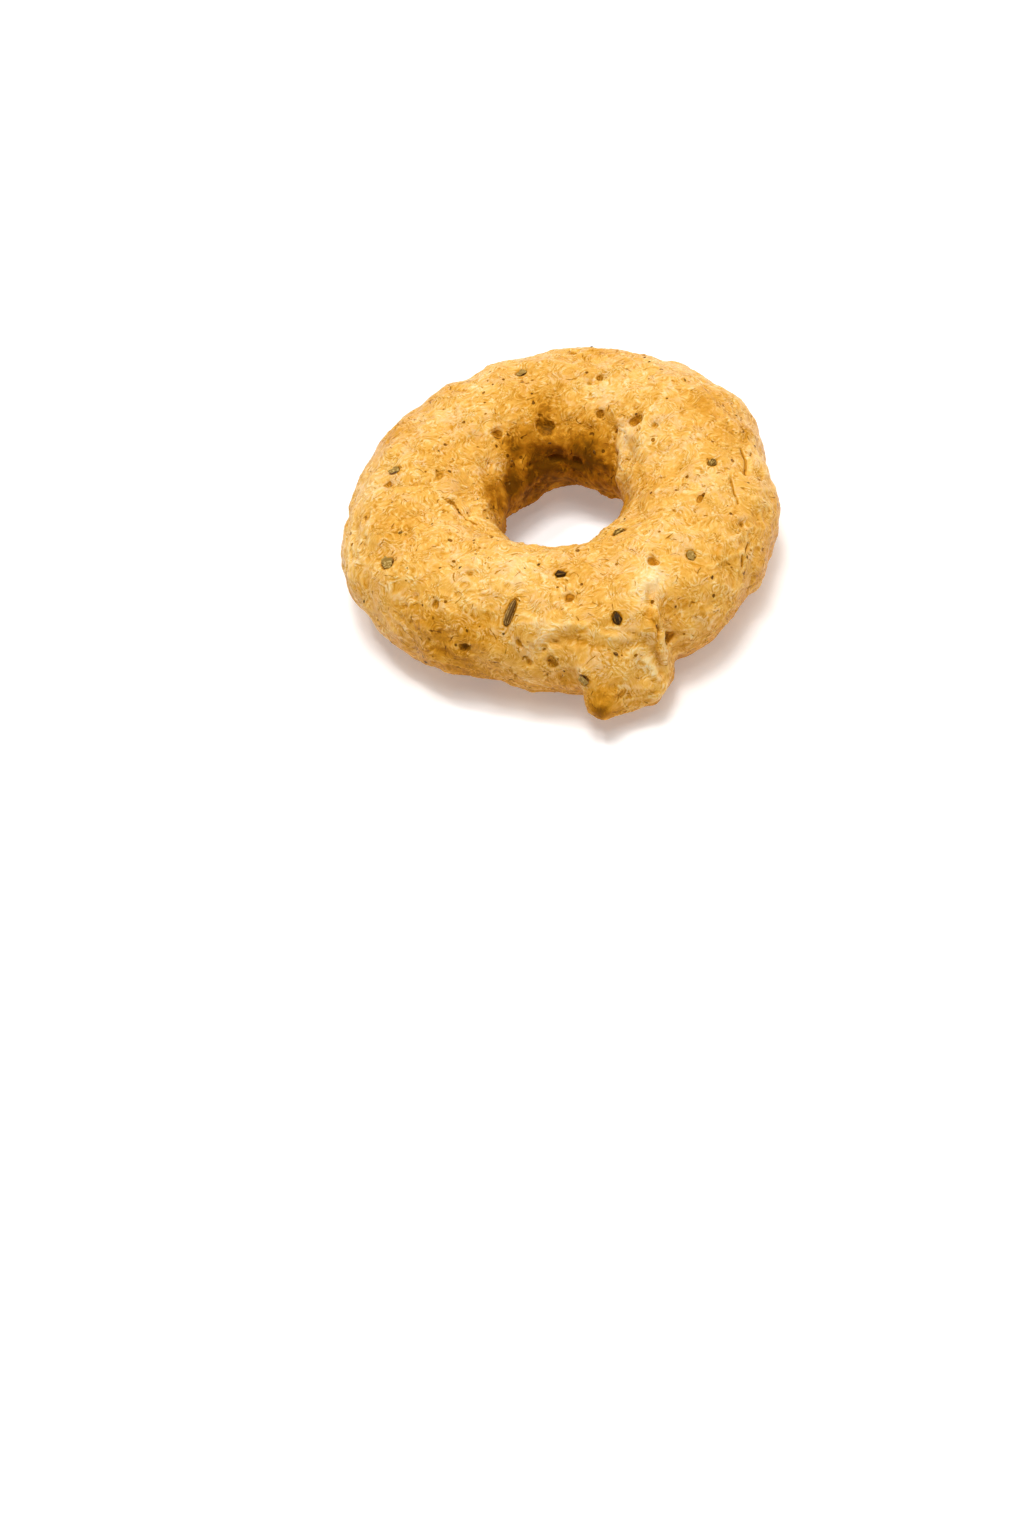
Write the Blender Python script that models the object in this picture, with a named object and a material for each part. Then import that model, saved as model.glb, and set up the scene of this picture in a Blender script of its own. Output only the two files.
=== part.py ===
"""One tarallo, a small ring-shaped baked cracker.

Metres, +Z up. The ring lies flat on z = 0 with its join towards -Y. A rope of dough is bent
round and its ends are lapped. The end that comes round from the left leaves the ring in a
straight line, stops short in a blunt wall and carries a pressed lip. The other end runs in
under it. Ring angles are in degrees round +Z from +X. Side angles go round the rope: 0 faces
away from the hole, 90 faces up and 180 faces the hole.
"""

import math
import random

import bmesh
import bpy
from mathutils import Matrix, Vector, noise
from mathutils.bvhtree import BVHTree
from mathutils.kdtree import KDTree

MM = 0.001

# The ring and its rope
RING_RADIUS = 14.2 * MM
ROPE_HALF_WIDTH = 8.1 * MM
ROPE_HALF_HEIGHT = 6.35 * MM
REST_SINK = 0.25 * MM
ROPE_MIDDLE = ROPE_HALF_HEIGHT - REST_SINK
# The middle of the ring, measured from the middle of the whole tarallo
RING_PLACE = (0.35 * MM, 1.9 * MM)
# Where the rope swells on its outer and on its hole side: ring angle, how far, spread
OUTER_SWELLS = (
    (0, -1.1 * MM, 13),
    (28, 0.6 * MM, 12),
    (48, 0.4 * MM, 10),
    (72, 0.45 * MM, 24),
    (112, 0.4 * MM, 12),
    (152, -0.35 * MM, 16),
    (188, 0.5 * MM, 16),
    (238, -1.3 * MM, 24),
    (302, 0.8 * MM, 10),
)
INNER_SWELLS = (
    (8, 0.3 * MM, 16),
    (84, -0.5 * MM, 18),
    (165, 0.4 * MM, 16),
    (305, 0.5 * MM, 16),
)

# The lapped ends
INNER_END = -90
TUCK_END = -62
TUCK_IN = 0.9 * MM
TUCK_NARROWING = 1.4 * MM
TUCK_LOWERING = 1.0 * MM
STRAIGHT_FROM = 266
OUTER_END = 305
FLARE_FROM = 236
FLARE_FULL = 286
FLARE_NARROWING = 0.2 * MM
FLARE_BOXINESS = 1.4
END_CAP = 9
END_BLUNTNESS = 3.4
# The pressed lip on the outer end. Its face leans back and its top slopes out and to the right.
LIP_FACE_MIDDLE = (3.1 * MM, -24.4 * MM, 5.5 * MM)
LIP_HALF_LENGTH = 5.0 * MM
LIP_HALF_DEPTH = 4.2 * MM
LIP_HALF_FACE = 4.7 * MM
LIP_LEAN = 20
LIP_SLOPE = 18
LIP_ROLL = 7
LIP_SWING = 8
LIP_BOXINESS = 3.2

# Relief of the crust: how wide its features are, how high, and where in the noise they start
RELIEF = (
    (8.0 * MM, 0.38 * MM, 3.1),
    (3.2 * MM, 0.48 * MM, 7.7),
    (1.6 * MM, 0.20 * MM, 1.9),
)
RELIEF_FREE_HEIGHT = 0.8 * MM
# Blisters: ring angle, side angle, radius, height
BLISTERS = (
    (8, 38, 1.5 * MM, 0.35 * MM),
    (70, 57, 1.3 * MM, 0.35 * MM),
    (-137, 32, 1.2 * MM, 0.30 * MM),
    (-141, 73, 0.8 * MM, 0.25 * MM),
    (-89, -12, 1.8 * MM, 0.70 * MM),
    (-96, -16, 1.6 * MM, 0.50 * MM),
    (-74, 15, 0.8 * MM, 0.30 * MM),
    (-79, -8, 1.1 * MM, 0.45 * MM),
    (20, 120, 1.6 * MM, 0.35 * MM),
    (60, 128, 0.9 * MM, 0.30 * MM),
    (75, 123, 1.0 * MM, 0.35 * MM),
    (78, 148, 1.1 * MM, 0.35 * MM),
    (101, 130, 0.9 * MM, 0.35 * MM),
    (50, 218, 1.4 * MM, 0.50 * MM),
    (109, 220, 1.5 * MM, 0.50 * MM),
    (172, 20, 1.3 * MM, 0.35 * MM),
    (215, -15, 1.4 * MM, 0.35 * MM),
    (-35, 0, 1.5 * MM, 0.35 * MM),
    (35, 5, 1.4 * MM, 0.35 * MM),
    (105, 5, 1.5 * MM, 0.40 * MM),
)
# Burst bubbles: ring angle, side angle, radius, depth
PITS = (
    (89, 133, 1.3 * MM, 0.60 * MM),
    (-62, 72, 0.8 * MM, 0.80 * MM),
    (-93, 71, 0.8 * MM, 0.50 * MM),
    (-125, 19, 0.7 * MM, 0.60 * MM),
    (-109, 32, 0.6 * MM, 0.50 * MM),
    (-100, 14, 0.9 * MM, 0.60 * MM),
    (-69, 10, 1.0 * MM, 0.60 * MM),
    (-136, 51, 0.7 * MM, 0.50 * MM),
    (63, 88, 0.7 * MM, 0.50 * MM),
    (55, 121, 0.7 * MM, 0.60 * MM),
    (32, 115, 0.8 * MM, 0.60 * MM),
    (21, 109, 0.7 * MM, 0.50 * MM),
    (-29, 80, 0.6 * MM, 0.50 * MM),
    (118, 124, 0.8 * MM, 0.60 * MM),
    (85, 165, 0.8 * MM, 0.60 * MM),
)
MORE_PITS = 60
MORE_PIT_SIDES = (-70, 250)
MORE_PIT_RADII = (0.35 * MM, 0.8 * MM)
# Depth of a scattered pit as a share of its radius
MORE_PIT_DEPTH = 0.55
PIT_DRAW = 11
# Folds of the lip, then of the join, then creases of the hole: the ring and side angles that
# each line passes, its half width and its height, which is below 0 for a groove
FOLDS = (
    (((-94, 47), (-90, 45), (-86, 37), (-82, 32), (-79, 27)), 0.6 * MM, 0.28 * MM),
    (((-102, 38), (-99, 44), (-94, 47)), 0.7 * MM, 0.12 * MM),
    (((-99, 36), (-93, 36), (-87, 30), (-81, 21)), 1.0 * MM, -0.22 * MM),
    (((-69, 54), (-73, 40), (-71, 27), (-75, 14), (-74, -4)), 0.9 * MM, -0.48 * MM),
    (((-79, 20), (-77, 9), (-76, -3), (-75, -14), (-78, -18)), 0.8 * MM, 0.30 * MM),
    (((-58, 88), (-63, 78), (-62, 68), (-68, 55)), 0.7 * MM, 0.20 * MM),
    (((49, 124), (41, 131), (39, 141), (28, 152), (24, 163), (14, 172)), 1.2 * MM, -0.38 * MM),
    (((36, 121), (31, 130), (28, 143), (16, 153), (13, 163), (4, 172)), 1.4 * MM, 0.22 * MM),
    (((105, 128), (112, 136), (114, 148), (127, 160), (131, 171)), 1.2 * MM, -0.38 * MM),
    (((119, 121), (128, 133), (132, 150), (146, 163), (151, 175)), 1.4 * MM, 0.22 * MM),
)
FOLD_STEPS = 24

# Herb seeds and flakes: ring angle, side angle, length, width, and turn from the rope's run
HERBS = (
    (-112, 60, 2.7 * MM, 0.9 * MM, 76),
    (-159, 55, 1.4 * MM, 1.2 * MM, 20),
    (-60, 120, 1.4 * MM, 0.9 * MM, 10),
    (-81, 45, 1.2 * MM, 0.9 * MM, 80),
    (-10, 78, 1.1 * MM, 0.8 * MM, 150),
    (-95, 92, 1.1 * MM, 0.8 * MM, 0),
    (-93, 6, 1.2 * MM, 0.9 * MM, 160),
    (-51, 59, 1.0 * MM, 0.8 * MM, 60),
    (94, 76, 1.1 * MM, 0.8 * MM, 30),
    (161, 75, 1.1 * MM, 0.9 * MM, 90),
)
MORE_HERBS = 10
MORE_HERB_TURNS = (15, 165)
MORE_HERB_SIDES = (-50, 15)
MORE_HERB_LENGTHS = (1.1 * MM, 2.3 * MM)
MORE_HERB_WIDTH = 0.9 * MM
HERB_DRAW = 23
# The share of a herb's thickness that stands out of the crust
HERB_LIFT = 0.32
HERB_SIDES = 6
HERB_RINGS = 4

# Mesh resolution
STATION_STEP = 2
SIDE_STEPS = 40
VOXEL = 0.4 * MM
SOFTENING = 8
CRUST_TRIANGLES = 10600
FLOOR_SNAP = 0.06 * MM

# The crust's finish
CRUST_COLOR = (0.74, 0.41, 0.12, 1)
CRUST_ROUGHNESS = 0.55


def ease(value, start, end):
    """0 before start, 1 after end and a smooth rise between them."""
    share = min(1.0, max(0.0, (value - start) / (end - start)))
    return share * share * (3 - 2 * share)


def bump(angle, centre, spread):
    """1 at centre and fading with spread, for angles in degrees that wrap."""
    away = (angle - centre + 180) % 360 - 180
    return math.exp(-((away / spread) ** 2))


def swell(turn, swells):
    return sum(height * bump(turn, at, spread) for at, height, spread in swells)


def end_scale(turn):
    """How much of its full section the rope has near its two rounded ends."""
    left = min(turn - INNER_END, OUTER_END - turn) / END_CAP
    if left >= 1:
        return 1.0
    return max(0.0, 1 - (1 - left) ** END_BLUNTNESS) ** (1 / END_BLUNTNESS)


def boxed_circle(side, added):
    """A point of a unit circle whose outer half is swollen towards a square by added."""
    across, upward = math.cos(side), math.sin(side)
    boxiness = 2 + added * max(0, across)
    total = (abs(across) ** boxiness + abs(upward) ** boxiness) ** (1 / boxiness)
    return across / total, upward / total


def point_on_rope(turn, side):
    """The point at a ring angle and a side angle. Past STRAIGHT_FROM the rope runs straight."""
    outer = swell(turn, OUTER_SWELLS)
    inner = swell(turn, INNER_SWELLS)
    tuck = 1 - ease(turn, INNER_END, TUCK_END)
    flare = ease(turn, FLARE_FROM, FLARE_FULL)
    scale = end_scale(turn)
    radius = RING_RADIUS + (outer - inner) / 2 - TUCK_IN * tuck
    half_width = ROPE_HALF_WIDTH + (outer + inner) / 2 - TUCK_NARROWING * tuck
    half_width = (half_width - FLARE_NARROWING * flare) * scale
    half_height = (ROPE_HALF_HEIGHT - TUCK_LOWERING * tuck) * scale
    bend = math.radians(min(turn, STRAIGHT_FROM))
    straight = math.radians(max(0, turn - STRAIGHT_FROM)) * RING_RADIUS
    out = Vector((math.cos(bend), math.sin(bend), 0))
    along = Vector((-math.sin(bend), math.cos(bend), 0))
    across, upward = boxed_circle(math.radians(side), FLARE_BOXINESS * flare)
    reach = radius + half_width * across
    height = ROPE_MIDDLE + half_height * upward
    return out * reach + along * straight + Vector((0, 0, height))


def add_rope(bm):
    """The rope as rings of vertices bridged by faces, closed at both ends."""
    count = round((OUTER_END - INNER_END) / STATION_STEP)
    rings = []
    for k in range(1, count):
        turn = INNER_END + (OUTER_END - INNER_END) * k / count
        sides = (360 * n / SIDE_STEPS for n in range(SIDE_STEPS))
        rings.append([bm.verts.new(point_on_rope(turn, side)) for side in sides])
    for first, second in zip(rings, rings[1:]):
        for k in range(SIDE_STEPS):
            after = (k + 1) % SIDE_STEPS
            bm.faces.new((first[k], second[k], second[after], first[after]))
    bm.faces.new(rings[0])
    bm.faces.new(reversed(rings[-1]))


def add_lip(bm):
    """A rounded, sheared block: a sphere pushed out towards the corners of a box."""
    angles = (LIP_LEAN, LIP_SLOPE, LIP_ROLL, LIP_SWING)
    lean, slope, roll, swing = (math.radians(angle) for angle in angles)
    along = Vector((math.cos(swing), math.sin(swing), -math.sin(roll))) * LIP_HALF_LENGTH
    out = Vector((0, -math.cos(slope), -math.sin(slope))) * LIP_HALF_DEPTH
    up = Vector((0, math.sin(lean), math.cos(lean))) * LIP_HALF_FACE
    middle = Vector(LIP_FACE_MIDDLE) - out
    made = bmesh.ops.create_icosphere(bm, subdivisions=4, radius=1)
    for vert in made["verts"]:
        total = sum(abs(part) ** LIP_BOXINESS for part in vert.co)
        unit = vert.co / total ** (1 / LIP_BOXINESS)
        vert.co = middle - along * unit.x + out * unit.y + up * unit.z


def linked_object(name, bm):
    mesh = bpy.data.meshes.new(name)
    bm.to_mesh(mesh)
    bm.free()
    obj = bpy.data.objects.new(name, mesh)
    bpy.context.scene.collection.objects.link(obj)
    return obj


def apply_modifiers(obj):
    """Keep the mesh that the modifiers make and drop the modifiers."""
    graph = bpy.context.evaluated_depsgraph_get()
    made = bpy.data.meshes.new_from_object(obj.evaluated_get(graph))
    obj.modifiers.clear()
    old = obj.data
    obj.data = made
    bpy.data.meshes.remove(old)


def dough_body():
    """The rope and its lip, fused by a voxel remesh and softened."""
    bm = bmesh.new()
    add_rope(bm)
    add_lip(bm)
    obj = linked_object("tarallo", bm)
    remesh = obj.modifiers.new("fuse", "REMESH")
    remesh.mode = "VOXEL"
    remesh.voxel_size = VOXEL
    smooth = obj.modifiers.new("soften", "SMOOTH")
    smooth.iterations = SOFTENING
    apply_modifiers(obj)
    return obj


def surface_tree(obj):
    return BVHTree.FromPolygons(
        [vert.co for vert in obj.data.vertices], [face.vertices for face in obj.data.polygons]
    )


def surface_point(tree, turn, side):
    """The crust's point and normal in a direction from the middle of the rope."""
    turn, side = math.radians(turn), math.radians(side)
    out = Vector((math.cos(turn), math.sin(turn), 0))
    start = out * RING_RADIUS + Vector((0, 0, ROPE_MIDDLE))
    aim = out * ROPE_HALF_WIDTH * math.cos(side)
    aim = aim + Vector((0, 0, ROPE_HALF_HEIGHT * math.sin(side)))
    point, normal, _, _ = tree.ray_cast(start, aim.normalized())
    return point, normal


def marks_on(tree):
    """Blisters and pits as (point, radius, height): the named ones, then scattered pits."""
    marks = []
    for turn, side, radius, height in BLISTERS:
        marks.append((surface_point(tree, turn, side)[0], radius, height))
    for turn, side, radius, depth in PITS:
        marks.append((surface_point(tree, turn, side)[0], radius, -depth))
    draw = random.Random(PIT_DRAW)
    for _ in range(MORE_PITS):
        turn, side = draw.uniform(0, 360), draw.uniform(*MORE_PIT_SIDES)
        radius = draw.uniform(*MORE_PIT_RADII)
        point = surface_point(tree, turn, side)[0]
        marks.append((point, radius, -radius * MORE_PIT_DEPTH))
    return marks


def points_tree(points):
    near = KDTree(len(points))
    for index, point in enumerate(points):
        near.insert(point, index)
    near.balance()
    return near


def folds_on(tree):
    """Each fold as (its line's points, half width, height)."""
    folds = []
    for corners, half_width, height in FOLDS:
        points = []
        for (turn, side), (next_turn, next_side) in zip(corners, corners[1:]):
            for step in range(FOLD_STEPS):
                share = step / FOLD_STEPS
                at = (turn + (next_turn - turn) * share, side + (next_side - side) * share)
                points.append(surface_point(tree, *at)[0])
        folds.append((points_tree(points), half_width, height))
    return folds


def dome(distance, radius):
    """1 in the middle and 0 from the radius on."""
    if distance >= radius:
        return 0.0
    return (1 - (distance / radius) ** 2) ** 2


def relief_height(point):
    return sum(
        high * noise.noise(point / wide + Vector((start, 0, 0))) for wide, high, start in RELIEF
    )


def mark_height(point, marks, near):
    total = 0.0
    widest = max(radius for _, radius, _ in marks)
    for _, index, distance in near.find_range(point, widest):
        _, radius, height = marks[index]
        total += height * dome(distance, radius)
    return total


def fold_height(point, folds):
    return sum(height * dome(near.find(point)[2], half) for near, half, height in folds)


def raise_relief(obj, tree):
    """Lumps, blisters, pits and folds, fading out where the crust nears the floor."""
    marks = marks_on(tree)
    near = points_tree([mark[0] for mark in marks])
    folds = folds_on(tree)
    moved = []
    for vert in obj.data.vertices:
        height = relief_height(vert.co) + mark_height(vert.co, marks, near)
        height += fold_height(vert.co, folds)
        moved.append(vert.co + vert.normal * height * ease(vert.co.z, 0, RELIEF_FREE_HEIGHT))
    for vert, place in zip(obj.data.vertices, moved):
        vert.co = place


def flatten_base(obj):
    for vert in obj.data.vertices:
        if vert.co.z < FLOOR_SNAP:
            vert.co.z = 0


def thin_out(obj):
    """Collapse edges until the crust is down to its number of triangles."""
    count = sum(len(face.vertices) - 2 for face in obj.data.polygons)
    decimate = obj.modifiers.new("thin_out", "DECIMATE")
    decimate.ratio = CRUST_TRIANGLES / count
    apply_modifiers(obj)


def herb_places():
    """The named herbs, then some scattered over the far outer side."""
    draw = random.Random(HERB_DRAW)
    places = list(HERBS)
    for _ in range(MORE_HERBS):
        turn, side = draw.uniform(*MORE_HERB_TURNS), draw.uniform(*MORE_HERB_SIDES)
        length = draw.uniform(*MORE_HERB_LENGTHS)
        places.append((turn, side, length, MORE_HERB_WIDTH, draw.uniform(0, 180)))
    return places


def herb_frame(tree, turn, side, spin):
    """A frame on the crust: X along the herb, Z away from the crust."""
    point, normal = surface_point(tree, turn, side)
    run = Vector((-math.sin(math.radians(turn)), math.cos(math.radians(turn)), 0))
    across = normal.cross(run).normalized()
    run = across.cross(normal)
    frame = Matrix((run, across, normal)).transposed().to_4x4()
    frame.translation = point
    return frame @ Matrix.Rotation(math.radians(spin), 4, "Z")


def press_in_herbs(obj):
    """Seeds and flakes as small pointed ellipsoids, joined to the crust by one Boolean."""
    tree = surface_tree(obj)
    herbs = bpy.data.collections.new("herbs")
    bpy.context.scene.collection.children.link(herbs)
    for number, (turn, side, length, width, spin) in enumerate(herb_places()):
        bm = bmesh.new()
        bmesh.ops.create_uvsphere(bm, u_segments=HERB_SIDES, v_segments=HERB_RINGS, radius=0.5)
        size = Matrix.Diagonal((width, width, length, 1))
        lie = Matrix.Rotation(math.radians(90), 4, "Y")
        lift = Matrix.Translation((0, 0, width * (HERB_LIFT - 0.5)))
        bm.transform(herb_frame(tree, turn, side, spin) @ lift @ lie @ size)
        herb = linked_object(f"herb_{number}", bm)
        herbs.objects.link(herb)
        bpy.context.scene.collection.objects.unlink(herb)
    union = obj.modifiers.new("herbs", "BOOLEAN")
    union.operation = "UNION"
    union.operand_type = "COLLECTION"
    union.collection = herbs
    union.solver = "EXACT"
    apply_modifiers(obj)
    for herb in list(herbs.objects):
        bpy.data.objects.remove(herb)
    bpy.data.collections.remove(herbs)


def center_on_origin(obj):
    obj.data.transform(Matrix.Translation((*RING_PLACE, 0)))


def add_material(obj):
    material = bpy.data.materials.new("baked_dough")
    material.use_nodes = True
    shader = material.node_tree.nodes["Principled BSDF"]
    shader.inputs["Base Color"].default_value = CRUST_COLOR
    shader.inputs["Roughness"].default_value = CRUST_ROUGHNESS
    obj.data.materials.clear()
    obj.data.materials.append(material)
    obj.data.shade_smooth()


def clear_scene():
    for obj in list(bpy.data.objects):
        bpy.data.objects.remove(obj)


def build_tarallo():
    tarallo = dough_body()
    raise_relief(tarallo, surface_tree(tarallo))
    thin_out(tarallo)
    flatten_base(tarallo)
    press_in_herbs(tarallo)
    center_on_origin(tarallo)
    add_material(tarallo)


clear_scene()
build_tarallo()
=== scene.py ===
import math
import random

import bmesh
import bpy
from mathutils import Matrix, Quaternion, Vector, noise
from mathutils.bvhtree import BVHTree
from mathutils.kdtree import KDTree


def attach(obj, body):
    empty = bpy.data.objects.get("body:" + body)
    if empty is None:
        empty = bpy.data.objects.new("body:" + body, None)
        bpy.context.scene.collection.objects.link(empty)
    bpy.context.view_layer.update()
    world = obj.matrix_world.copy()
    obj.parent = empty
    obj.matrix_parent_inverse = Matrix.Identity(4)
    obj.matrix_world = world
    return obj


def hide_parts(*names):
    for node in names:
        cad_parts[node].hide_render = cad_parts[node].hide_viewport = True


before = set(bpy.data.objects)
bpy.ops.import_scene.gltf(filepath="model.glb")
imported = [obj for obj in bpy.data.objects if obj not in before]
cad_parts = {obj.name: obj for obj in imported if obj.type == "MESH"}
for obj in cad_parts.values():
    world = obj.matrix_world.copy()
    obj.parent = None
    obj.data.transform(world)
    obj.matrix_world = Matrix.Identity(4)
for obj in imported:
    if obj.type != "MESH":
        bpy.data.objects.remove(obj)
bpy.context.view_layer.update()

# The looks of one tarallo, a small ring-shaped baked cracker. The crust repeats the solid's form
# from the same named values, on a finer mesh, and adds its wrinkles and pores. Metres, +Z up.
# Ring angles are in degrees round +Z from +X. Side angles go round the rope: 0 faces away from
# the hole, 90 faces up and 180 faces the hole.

MM = 0.001

# The ring and its rope, as in the solid
RING_RADIUS = 14.2 * MM
ROPE_HALF_WIDTH = 8.1 * MM
ROPE_HALF_HEIGHT = 6.35 * MM
REST_SINK = 0.25 * MM
ROPE_MIDDLE = ROPE_HALF_HEIGHT - REST_SINK
# The middle of the ring, measured from the middle of the whole tarallo
RING_PLACE = (0.35 * MM, 1.9 * MM)
# Where the rope swells on its outer and on its hole side: ring angle, how far, spread
OUTER_SWELLS = (
    (0, -1.1 * MM, 13),
    (28, 0.6 * MM, 12),
    (48, 0.4 * MM, 10),
    (72, 0.45 * MM, 24),
    (112, 0.4 * MM, 12),
    (152, -0.35 * MM, 16),
    (188, 0.5 * MM, 16),
    (238, -1.3 * MM, 24),
    (302, 0.8 * MM, 10),
)
INNER_SWELLS = (
    (8, 0.3 * MM, 16),
    (84, -0.5 * MM, 18),
    (165, 0.4 * MM, 16),
    (305, 0.5 * MM, 16),
)

# The lapped ends
INNER_END = -90
TUCK_END = -62
TUCK_IN = 0.9 * MM
TUCK_NARROWING = 1.4 * MM
TUCK_LOWERING = 1.0 * MM
STRAIGHT_FROM = 266
OUTER_END = 305
FLARE_FROM = 236
FLARE_FULL = 286
FLARE_NARROWING = 0.2 * MM
FLARE_BOXINESS = 1.4
END_CAP = 9
END_BLUNTNESS = 3.4
# The pressed lip on the outer end. Its face leans back and its top slopes out and to the right.
LIP_FACE_MIDDLE = (3.1 * MM, -24.4 * MM, 5.5 * MM)
LIP_HALF_LENGTH = 5.0 * MM
LIP_HALF_DEPTH = 4.2 * MM
LIP_HALF_FACE = 4.7 * MM
LIP_LEAN = 20
LIP_SLOPE = 18
LIP_ROLL = 7
LIP_SWING = 8
LIP_BOXINESS = 3.2

# Relief of the crust: how wide its features are, how high, and where in the noise they start
RELIEF = (
    (8.0 * MM, 0.38 * MM, 3.1),
    (3.2 * MM, 0.48 * MM, 7.7),
    (1.6 * MM, 0.20 * MM, 1.9),
)
RELIEF_FREE_HEIGHT = 0.8 * MM
# Blisters: ring angle, side angle, radius, height
BLISTERS = (
    (8, 38, 1.5 * MM, 0.35 * MM),
    (70, 57, 1.3 * MM, 0.35 * MM),
    (-137, 32, 1.2 * MM, 0.30 * MM),
    (-141, 73, 0.8 * MM, 0.25 * MM),
    (-89, -12, 1.8 * MM, 0.70 * MM),
    (-96, -16, 1.6 * MM, 0.50 * MM),
    (-74, 15, 0.8 * MM, 0.30 * MM),
    (-79, -8, 1.1 * MM, 0.45 * MM),
    (20, 120, 1.6 * MM, 0.35 * MM),
    (60, 128, 0.9 * MM, 0.30 * MM),
    (75, 123, 1.0 * MM, 0.35 * MM),
    (78, 148, 1.1 * MM, 0.35 * MM),
    (101, 130, 0.9 * MM, 0.35 * MM),
    (50, 218, 1.4 * MM, 0.50 * MM),
    (109, 220, 1.5 * MM, 0.50 * MM),
    (172, 20, 1.3 * MM, 0.35 * MM),
    (215, -15, 1.4 * MM, 0.35 * MM),
    (-35, 0, 1.5 * MM, 0.35 * MM),
    (35, 5, 1.4 * MM, 0.35 * MM),
    (105, 5, 1.5 * MM, 0.40 * MM),
)
# Burst bubbles: ring angle, side angle, radius, depth
PITS = (
    (89, 133, 1.3 * MM, 0.60 * MM),
    (-62, 72, 0.8 * MM, 0.80 * MM),
    (-93, 71, 0.8 * MM, 0.50 * MM),
    (-125, 19, 0.7 * MM, 0.60 * MM),
    (-109, 32, 0.6 * MM, 0.50 * MM),
    (-100, 14, 0.9 * MM, 0.60 * MM),
    (-69, 10, 1.0 * MM, 0.60 * MM),
    (-136, 51, 0.7 * MM, 0.50 * MM),
    (63, 88, 0.7 * MM, 0.50 * MM),
    (55, 121, 0.7 * MM, 0.60 * MM),
    (32, 115, 0.8 * MM, 0.60 * MM),
    (21, 109, 0.7 * MM, 0.50 * MM),
    (-29, 80, 0.6 * MM, 0.50 * MM),
    (118, 124, 0.8 * MM, 0.60 * MM),
    (85, 165, 0.8 * MM, 0.60 * MM),
)
MORE_PITS = 60
MORE_PIT_SIDES = (-70, 250)
MORE_PIT_RADII = (0.35 * MM, 0.8 * MM)
# Depth of a scattered pit as a share of its radius
MORE_PIT_DEPTH = 0.55
PIT_DRAW = 11

# Herb seeds and flakes: ring angle, side angle, length, width, turn from the rope's run, kind
HERBS = (
    (-112, 60, 2.7 * MM, 0.9 * MM, 76, "fennel"),
    (-159, 55, 1.4 * MM, 1.2 * MM, 20, "flake"),
    (-60, 120, 1.4 * MM, 0.9 * MM, 10, "seed"),
    (-81, 45, 1.2 * MM, 0.9 * MM, 80, "dark_seed"),
    (-10, 78, 1.1 * MM, 0.8 * MM, 150, "seed"),
    (-95, 92, 1.1 * MM, 0.8 * MM, 0, "dark_seed"),
    (-93, 6, 1.2 * MM, 0.9 * MM, 160, "flake"),
    (-51, 59, 1.0 * MM, 0.8 * MM, 60, "flake"),
    (94, 76, 1.1 * MM, 0.8 * MM, 30, "flake"),
    (161, 75, 1.1 * MM, 0.9 * MM, 90, "flake"),
)
HERB_KINDS = ("fennel", "flake", "seed", "dark_seed")
MORE_HERBS = 10
MORE_HERB_TURNS = (15, 165)
MORE_HERB_SIDES = (-50, 15)
MORE_HERB_LENGTHS = (1.1 * MM, 2.3 * MM)
MORE_HERB_WIDTH = 0.9 * MM
HERB_DRAW = 23

# The fine crust
STATION_STEP = 2
SIDE_STEPS = 40
VOXEL = 0.4 * MM
SOFTENING = 8
FINE_VOXEL = 0.246 * MM
FINE_SOFTENING = 2
FLOOR_SNAP = 0.06 * MM
# Wrinkles: thin crests along the lines where a noise changes sign, and round small cells
WRINKLE_WIDE = 1.5 * MM
WRINKLE_HIGH = 0.17 * MM
WRINKLE_THIN = 0.26
WRINKLE_STRETCH = 0.85
WRINKLE_TWIST = 0.6
WARP_WIDE = 2.2
WARP = 0.8
WARP_DRAW = 7
CELLS = 0.9
CELL_WALL = 0.15
# The lines of a second noise are finer by this factor
FINER = 1.8
# What the first lines, the finer ones and the cell walls add to a wrinkle's height
LINE_SHARE = 0.6
FINE_LINE_SHARE = 0.35
CELL_SHARE = 0.6
# The wrinkles are rougher in some places than in others: how far apart, the mean and the swing
ROUGH_WIDE = 4.0 * MM
ROUGH_MEAN = 0.8
ROUGH_SWING = 0.6
# The share of a crest at which the skin stays where the relief puts it
WRINKLE_LEVEL = 0.3
# Folds of the lip, then of the join, then creases of the hole: the ring and side angles that
# each line passes, its half width and its height, which is below 0 for a groove
FOLDS = (
    (((-94, 47), (-90, 45), (-86, 37), (-82, 32), (-79, 27)), 0.6 * MM, 0.28 * MM),
    (((-102, 38), (-99, 44), (-94, 47)), 0.7 * MM, 0.12 * MM),
    (((-99, 36), (-93, 36), (-87, 30), (-81, 21)), 1.0 * MM, -0.22 * MM),
    (((-69, 54), (-73, 40), (-71, 27), (-75, 14), (-74, -4)), 0.9 * MM, -0.48 * MM),
    (((-79, 20), (-77, 9), (-76, -3), (-75, -14), (-78, -18)), 0.8 * MM, 0.30 * MM),
    (((-58, 88), (-63, 78), (-62, 68), (-68, 55)), 0.7 * MM, 0.20 * MM),
    (((49, 124), (41, 131), (39, 141), (28, 152), (24, 163), (14, 172)), 1.2 * MM, -0.38 * MM),
    (((36, 121), (31, 130), (28, 143), (16, 153), (13, 163), (4, 172)), 1.4 * MM, 0.22 * MM),
    (((105, 128), (112, 136), (114, 148), (127, 160), (131, 171)), 1.2 * MM, -0.38 * MM),
    (((119, 121), (128, 133), (132, 150), (146, 163), (151, 175)), 1.4 * MM, 0.22 * MM),
)
FOLD_STEPS = 24
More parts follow.
